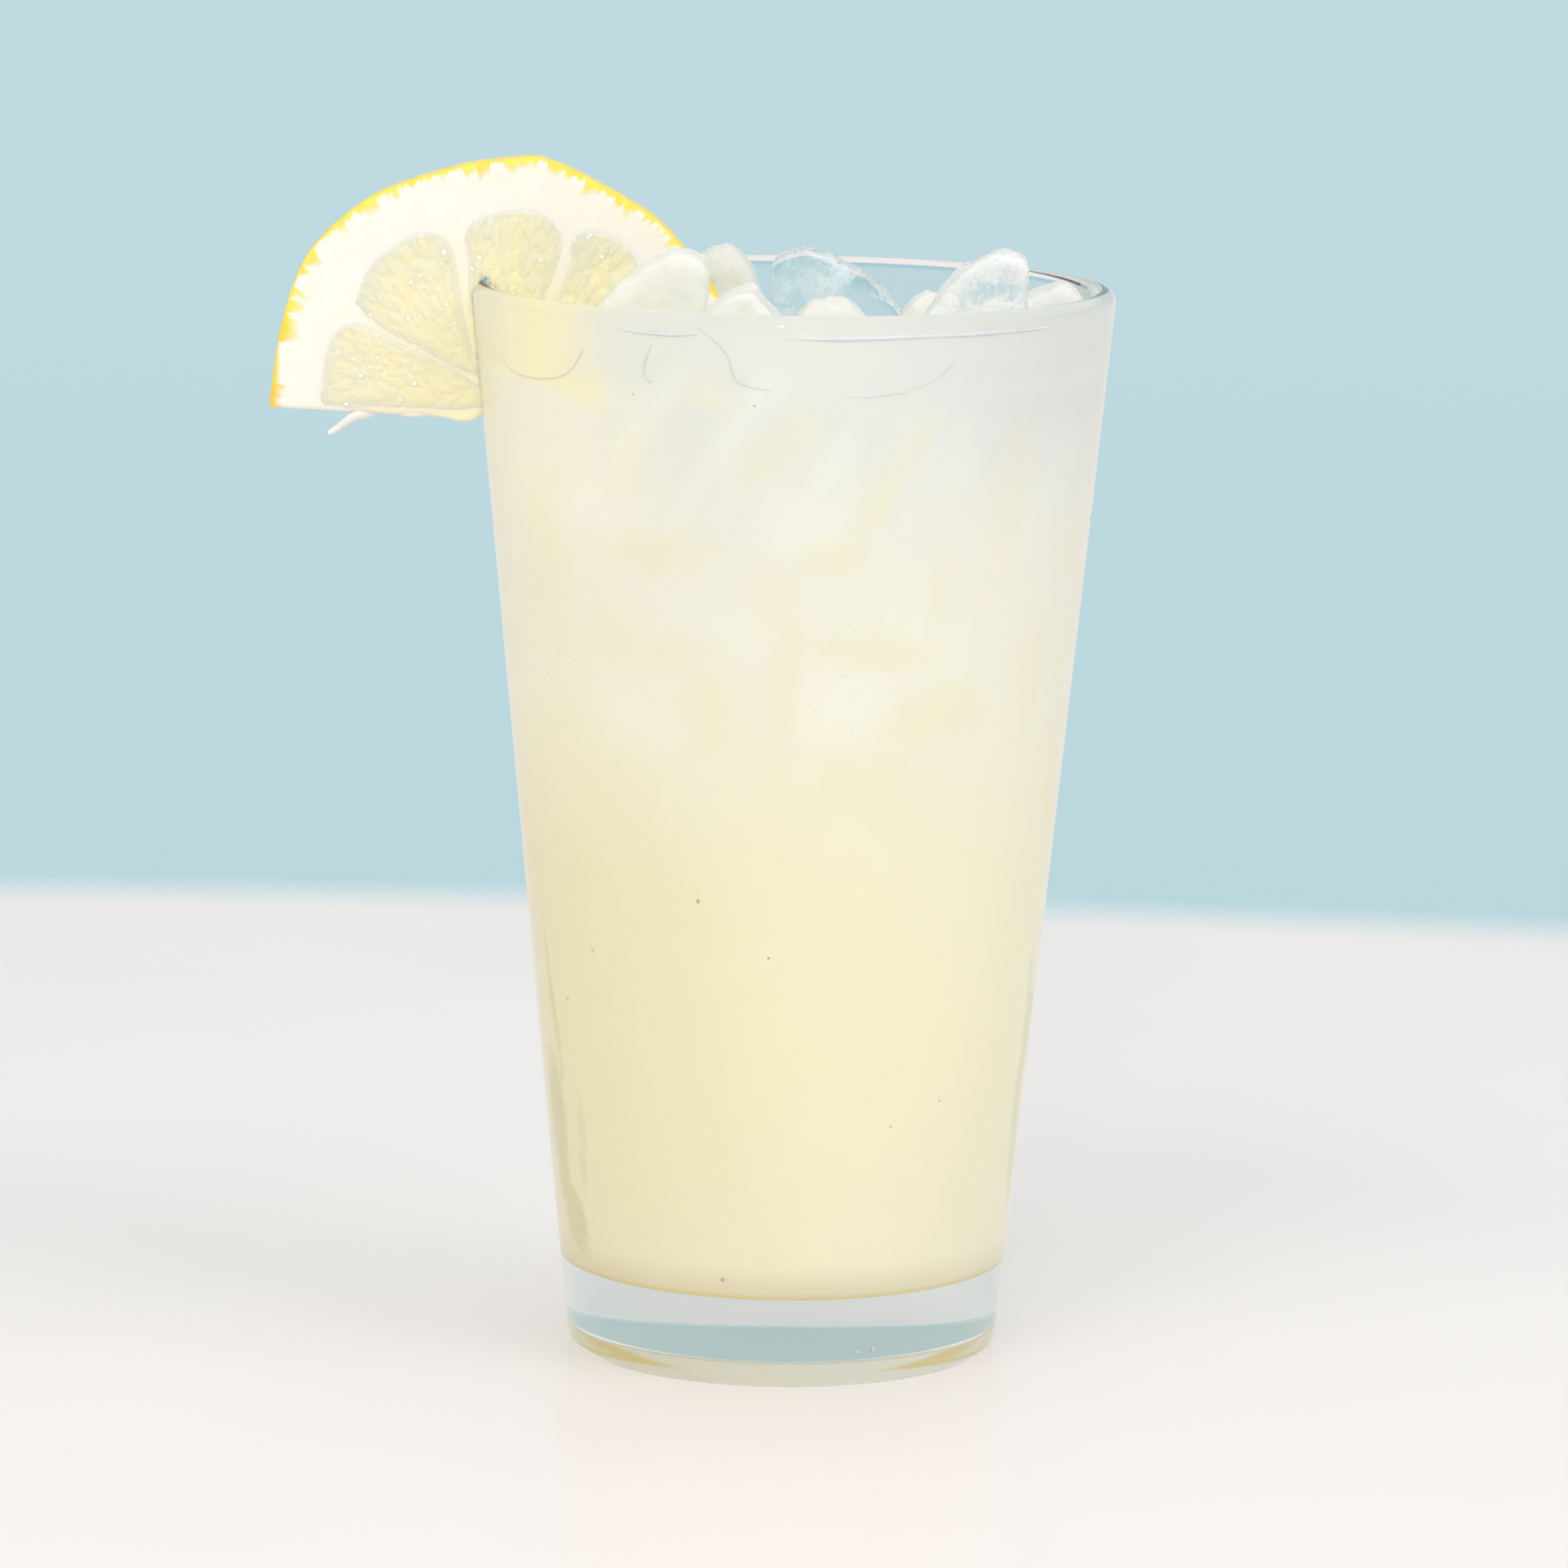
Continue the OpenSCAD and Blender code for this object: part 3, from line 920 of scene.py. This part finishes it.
class LEMONADE_OT_lemon(Operator):
    """Add the lemon slice: peel, five segments and a shred on its cut edge"""

    bl_idname = "lemonade.add_lemon"
    bl_label = "Lemon slice"

    def execute(self, context):
        settings = context.scene.lemonade_lemon
        low, neck = 0.1, 0.1473
        wall = [(outer_radius(low) - 0.00005, low), (0.044235, neck), (RIM_ROUND[0], 0.1502),
                (0.040685, neck), (inner_radius(low) - 0.0002, low)]
        slit = lathe("slit", wall + wall[:1], 120)
        outline = smooth_loop(PEEL_OUTLINE, 6)
        peel = self.carve("lemon_peel", outline, 2.85, slit, settings.grain, 5)
        self.mark_rind(peel, outline[:RIND_POINTS * 6])
        finish_piece(peel, "lemon", peel_material(), "lemon_slice")
        flesh = flesh_material()
        draw, beads = random.Random(11), []
        for number, spots in enumerate(SEGMENTS, 1):
            outline = smooth_loop(spots, 5)
            part = self.carve("lemon_segment_%d" % number, outline, 2.9, slit,
                              settings.grain * 0.9, 6)
            self.swell(part, draw, settings.bulge / MM, outline)
            points = get_points(part)
            front = points[points[:, 1] < -2.85]
            for _ in range(16):
                place = Vector(front[draw.randrange(len(front))])
                size = draw.uniform(0.12, 0.3)
                beads.append((place, Vector((0, -1, 0)), size, 0.4, draw.random()))
            finish_piece(part, "lemon", flesh)
        bpy.data.objects.remove(slit)
        # Juice beads on the cut faces, coloured near white as painted glints.
        juice = plain_material("juice", (252, 252, 248), 0.1, spread=0.02)
        scatter("juice_beads", beads, "lemon", juice)
        self.shred()
        return {"FINISHED"}

    @staticmethod
    def carve(name, outline, half, slit, grain, passes):
        """A plate with the slit cut out of it, meshed finely and softened."""
        part = plate(name, outline, half)
        apply_modifier(part, "BOOLEAN", operation="DIFFERENCE", object=slit, solver="EXACT")
        apply_modifier(part, "REMESH", mode="VOXEL", voxel_size=grain)
        apply_modifier(part, "SMOOTH", factor=0.5, iterations=passes)
        return part

    @staticmethod
    def mark_rind(peel, outline):
        """Store the way along the rind and the depth below it, and roughen the outside."""
        points = get_points(peel)
        curve = [np.array(p) for p in outline]
        depth, along, run = np.full(len(points), 1e9), np.zeros(len(points)), 0.0
        for a, b in zip(curve, curve[1:]):
            share, gap = near_line(points, a, b)
            length = np.hypot(*(b - a))
            along = np.where(gap < depth, run + share * length, along)
            depth = np.minimum(gap, depth)
            run += length
        y = points[:, 1].copy()
        store(peel, "rind", [along, depth, y * 0.3])
        bumpy = np.sin(along * 2.9 + y) * np.sin(y * 2.3 + along * 0.7)
        points += get_normals(peel) * (np.clip(1.2 - depth, 0, 1) * bumpy * 0.06)[:, None]
        soft = np.sin(points[:, 0] * 0.9) * np.sin(points[:, 2] * 0.8 + 1.0)
        points[:, 1] += np.sign(points[:, 1]) * 0.012 * soft * np.clip(depth - 1, 0, 1)
        set_points(peel, points)

    @staticmethod
    def swell(part, draw, bulge, outline):
        """Raise the juice sacs, long cells that run out from the core."""
        points = get_points(part)
        curve = [np.array(p) for p in outline]
        inset = np.min([near_line(points, a, b)[1]
                        for a, b in zip(curve, curve[1:] + curve[:1])], axis=0)
        x, z = points[:, 0] - LEMON_CORE[0], points[:, 2] - LEMON_CORE[1]
        radius, turn = np.hypot(x, z), np.arctan2(z, x)
        for side in (-1, 1):
            face = points[:, 1] * side > 1.2
            seeds = []
            low, high = turn[face].min(), turn[face].max()
            ring = 3.0
            while ring < 28:
                count = max(1, int((high - low) * ring / 1.5))
                for k in range(count):
                    place = low + (high - low) * (k + draw.random()) / count
                    seeds.append((place, ring + draw.uniform(-2, 2), draw.random()))
                ring += SAC_LENGTH
            seeds = np.array(seeds)
            across = (turn[face][:, None] - seeds[:, 0]) * np.maximum(radius[face], 4)[:, None]
            along = radius[face][:, None] - seeds[:, 1]
            gap = np.hypot(across / SAC_WIDTH, along / SAC_LENGTH)
            order = np.argsort(gap, axis=1)[:, :2]
            first, second = np.take_along_axis(gap, order, 1).T
            edge = np.clip(second - first, 0, 1)
            lift = bulge * (1 - (1 - np.clip(edge * 1.8, 0, 1)) ** 2)
            points[face, 1] += side * (lift * np.clip(inset[face] / 1.6, 0, 1) - 0.03)
            if side == -1:
                cell, border = np.zeros(len(points)), np.ones(len(points))
            cell[face] = seeds[order[:, 0], 2]
            border[face] = edge
        store(part, "sac", [cell, border, radius / 26.0])
        store(part, "inset", [inset, inset, inset])
        set_points(part, points)

    @staticmethod
    def shred():
        """A torn strand that hangs from the cut edge, and a shorter one beside it."""
        tone = plain_material("lemon_strand", (240, 242, 236), 0.35)
        routes = (
            [(-57.0, -1.2, 131.2, 0.8), (-58.8, -1.6, 130.9, 1.3), (-60.2, -2.0, 130.4, 1.0),
             (-61.6, -2.3, 129.4, 0.7), (-62.8, -2.4, 128.5, 0.6), (-63.9, -2.4, 127.9, 0.35)],
            [(-49.5, -2.2, 131.0, 0.6), (-51.5, -2.4, 130.7, 0.7), (-53.5, -2.3, 130.6, 0.5),
             (-55.0, -2.0, 130.9, 0.3)],
        )
        for number, route in enumerate(routes, 1):
            finish_piece(strand("lemon_shred_%d" % number, route, 0.85), "lemon", tone)


# The kinds of ice, as clear share, roughness and colour, and the kind of each half-moon.
ICE_LOOKS = {
    "ice_frosted": (-0.5, 0.25, (0.83, 0.82, 0.76)),
    "ice_warm": (-0.2, 0.3, (0.78, 0.78, 0.74)),
    "ice_clear": (0.62, 0.2, (0.72, 0.78, 0.81)),
    "ice_shard": (0.34, 0.08, (0.84, 0.84, 0.82)),
}
ICE_FINISH = ["ice_frosted", "ice_warm", "ice_frosted", "ice_frosted", "ice_clear",
              "ice_frosted", "ice_shard", "ice_frosted", "ice_frosted"]
# Height in millimetres from which a piece narrows to a round top, and how strongly.
ICE_CROWNS = {"ice_2": (142, 1), "ice_4": (141, 0.8), "ice_6": (140, 0.7), "ice_3": (143, 0.3)}


class LEMONADE_OT_ice(Operator):
    """Add the nine half-moons of ice, rounded as by melting"""

    bl_idname = "lemonade.add_ice"
    bl_label = "Ice"

    def execute(self, context):
        settings = context.scene.lemonade_ice
        looks = {name: ice_material(name, *look) for name, look in ICE_LOOKS.items()}
        big, small = (bpy.data.textures.new(name, "CLOUDS") for name in ("melt_broad", "melt_fine"))
        big.noise_scale, small.noise_scale = 0.007, 0.0022
        for node, finish in zip(ICE_NODES, ICE_FINISH):
            mesh = frame["nodes"][node].data.copy()
            obj = link_new("half_moon_" + node[-1], mesh)
            edit_all(obj)
            bpy.ops.mesh.remove_doubles(threshold=1e-5)
            bpy.ops.mesh.normals_make_consistent(inside=False)
            close_edit()
            apply_modifier(obj, "REMESH", mode="VOXEL", voxel_size=settings.grain)
            passes = settings.melt * (4 if node in ("ice_2", "ice_4", "ice_6") else 1)
            before = get_points(obj)
            apply_modifier(obj, "SMOOTH", factor=0.8, iterations=passes)
            after = get_points(obj)
            middle = (before.max(0) + before.min(0)) / 2
            grown = np.ptp(before, 0) / np.ptp(after, 0)
            set_points(obj, middle + (after - (after.max(0) + after.min(0)) / 2) * grown)
            apply_modifier(obj, "DISPLACE", texture=big, strength=0.0014, mid_level=0.5)
            apply_modifier(obj, "DISPLACE", texture=small, strength=0.0006, mid_level=0.5)
            if node in ICE_CROWNS:
                points = get_points(obj)
                start, strength = ICE_CROWNS[node]
                rise = np.clip((points[:, 2] - start) / (points[:, 2].max() - start + 0.3), 0, 1)
                narrow = 1 - strength * (1 - np.sqrt(1 - rise ** 2))
                centre = (points[:, 0].max() + points[:, 0].min()) / 2
                points[:, 0] = centre + (points[:, 0] - centre) * narrow
                set_points(obj, points)
            finish_piece(obj, "ice", looks[finish], node)
        self.sunk(looks["ice_frosted"])
        return {"FINISHED"}

    @staticmethod
    def sunk(finish):
        """Half-moons sunk in the drink, in three layers turned against each other."""
        clear_selection()
        bpy.ops.mesh.primitive_ico_sphere_add(subdivisions=4, radius=1)
        moon = bpy.context.object
        points = get_points(moon)
        # The ball has a radius of 1000 here; its +X side is cut flat.
        points[:, 0] = np.minimum(points[:, 0], 100)
        set_points(moon, points)
        apply_modifier(moon, "SMOOTH", factor=0.5, iterations=4)
        spots = []
        for layer, height in enumerate((101, 86, 71)):
            for turn in (20 + 60 * layer, 140 + 60 * layer, 260 + 60 * layer):
                angle = math.radians(turn)
                across = Vector((math.cos(angle), math.sin(angle), 0))
                place = Vector((across.y, -across.x, 0)) * 17 + Vector((0, 0, height))
                spots.append((place, across, 14.5, 0.36, turn))
        scatter("sunk_ice", spots, "ice", finish, moon)


# The floor's size and where its middle lies.
FLOOR_RADIUS, FLOOR_MIDDLE = 1.7, (-0.15, -1.323)


class LEMONADE_OT_stage(Operator):
    """Add the floor, the light and the camera"""

    bl_idname = "lemonade.set_stage"
    bl_label = "Stage"

    def execute(self, context):
        settings = context.scene.lemonade_stage
        clear_selection()
        bpy.ops.mesh.primitive_circle_add(vertices=128, radius=FLOOR_RADIUS, fill_type="NGON",
                                          location=(*FLOOR_MIDDLE, -0.0001))
        floor = bpy.context.object
        floor.name = "floor"
        settle(floor)
        floor.data.materials.append(self.floor_material(settings.floor))
        floor.visible_glossy = False
        self.surroundings(context)
        for name, place, size, power, colour in (
                ("key_light", (-0.6, -1.1, 1.1), 1.0, 7.15, (0.985, 0.985, 0.965)),
                ("fill_light", (0.9, -0.6, 0.8), 0.8, 4.0, (1.0, 1.0, 0.99)),
                ("glint_light", (-0.12, -1.6, 0.9), 0.08, 1.5, (1.0, 1.0, 1.0))):
            lamp = bpy.data.lights.new(name, "AREA")
            lamp.size, lamp.energy, lamp.color = size, power, colour
            obj = link_new(name, lamp)
            obj.location = place
            aim = Vector((0, 0, 0.08)) - Vector(place)
            obj.rotation_euler = aim.to_track_quat("-Z", "Y").to_euler()
            obj.visible_glossy = obj.visible_transmission = name == "glint_light"
        self.add_camera(context, settings.lens)
        context.scene.view_settings.view_transform = "Standard"
        light_paths = context.scene.cycles
        light_paths.max_bounces = light_paths.transmission_bounces = 24
        light_paths.transparent_max_bounces = 40
        return {"FINISHED"}

    @staticmethod
    def floor_material(colour):
        """Plain pale matt floor that fades out at its far edge."""
        n = new_material("floor")
        place = n.place()
        soft = n.span(n.noise(place, 9.0, 3.0), 0.3, 0.7)
        tone = n.mix(soft, tuple(colour), tuple(c * 0.975 for c in colour))
        # A faint glow under the foot stands for the light that the glass gathers there.
        glow = n.span(n.measure("LENGTH", place), 0.0285, 0.0262, 0.0, 0.4, smooth=True)
        skin = n.skin(tone, 0.32, Specular_IOR_Level=0.35, Emission_Strength=glow,
                      Emission_Color=(*linear(222, 218, 206), 1))
        far = n.measure("DISTANCE", place, (*FLOOR_MIDDLE, 0))
        fade = n.span(far, FLOOR_RADIUS - 0.04, FLOOR_RADIUS, smooth=True)
        return n.finish(n.blend(fade, skin, n.add("BsdfTransparent")))

    @staticmethod
    def surroundings(context):
        """A pale blue band under a white ceiling, and even white light on matt faces."""
        world = bpy.data.worlds.new("surroundings")
        context.scene.world = world
        n = Nodes(world)
        height = n.split((n.add("TexCoord"), "Generated"))[2]
        tone = n.ramp(n.span(height, -0.3, 0.9), [
            (0.0, (160, 200, 209)), (0.1, (186, 215, 222)), (0.25, (196, 221, 228)),
            (0.45, (186, 207, 206)), (0.55, (250, 250, 250)), (1.0, (255, 255, 255))])
        path = n.add("LightPath")
        matt = (path, "Is Diffuse Ray")
        # What the glass mirrors from below the horizon has the floor's tone.
        mirrored = n.math("SUBTRACT", (path, "Is Glossy Ray"), (path, "Is Transmission Ray"),
                          clamp=True)
        mirrored = n.times(mirrored, n.span(height, 0.05, 0.0))
        tone = n.mix(mirrored, tone, linear(236, 233, 230))
        tone = n.mix(matt, tone, (1.0, 1.0, 1.0))
        light = n.add("Background", Color=tone, Strength=n.span(matt, 0.0, 1.0, 1.0, 0.82))
        n.add("OutputWorld", Surface=(light, 0))

    @staticmethod
    def add_camera(context, lens):
        """A long lens a little above the rim, looking slightly down."""
        camera = bpy.data.cameras.new("camera")
        camera.sensor_width, camera.lens = 36.0, lens
        camera.clip_start, camera.clip_end = 0.05, 20
        obj = link_new("camera", camera)
        pitch, yaw, roll = 0.1614, -0.0005, 0.0124
        turn = Matrix.Rotation(-yaw, 4, "Z") @ Matrix.Rotation(math.pi / 2 - pitch, 4, "X")
        turn = turn @ Matrix.Rotation(roll, 4, "Z")
        obj.matrix_world = Matrix.Translation((0, -1.09078, 0.25693)) @ turn
        context.scene.camera = obj


class LEMONADE_PT_panel(Panel):
    """Buttons for each piece"""

    bl_label = "Lemonade"
    bl_idname = "LEMONADE_PT_panel"
    bl_space_type = "VIEW_3D"
    bl_region_type = "UI"
    bl_category = "Lemonade"

    def draw(self, context):
        for operator in OPERATORS:
            self.layout.operator(operator.bl_idname)
        for name, group in SETTINGS.items():
            column = self.layout.column()
            for key in group.__annotations__:
                column.prop(getattr(context.scene, name), key)


OPERATORS = (LEMONADE_OT_stage, LEMONADE_OT_glass, LEMONADE_OT_drink, LEMONADE_OT_lemon,
             LEMONADE_OT_ice, LEMONADE_OT_details)
CLASSES = tuple(SETTINGS.values()) + OPERATORS + (LEMONADE_PT_panel,)


def register():
    """Register the classes and hang the settings on the scene."""
    for cls in CLASSES:
        bpy.utils.register_class(cls)
    for name, group in SETTINGS.items():
        setattr(bpy.types.Scene, name, PointerProperty(type=group))


def unregister():
    """Undo register."""
    for name in SETTINGS:
        delattr(bpy.types.Scene, name)
    for cls in reversed(CLASSES):
        bpy.utils.unregister_class(cls)


def main():
    """Build every piece in order."""
    register()
    for operator in OPERATORS:
        group, name = operator.bl_idname.split(".")
        getattr(getattr(bpy.ops, group), name)()


if __name__ == "__main__":
    main()
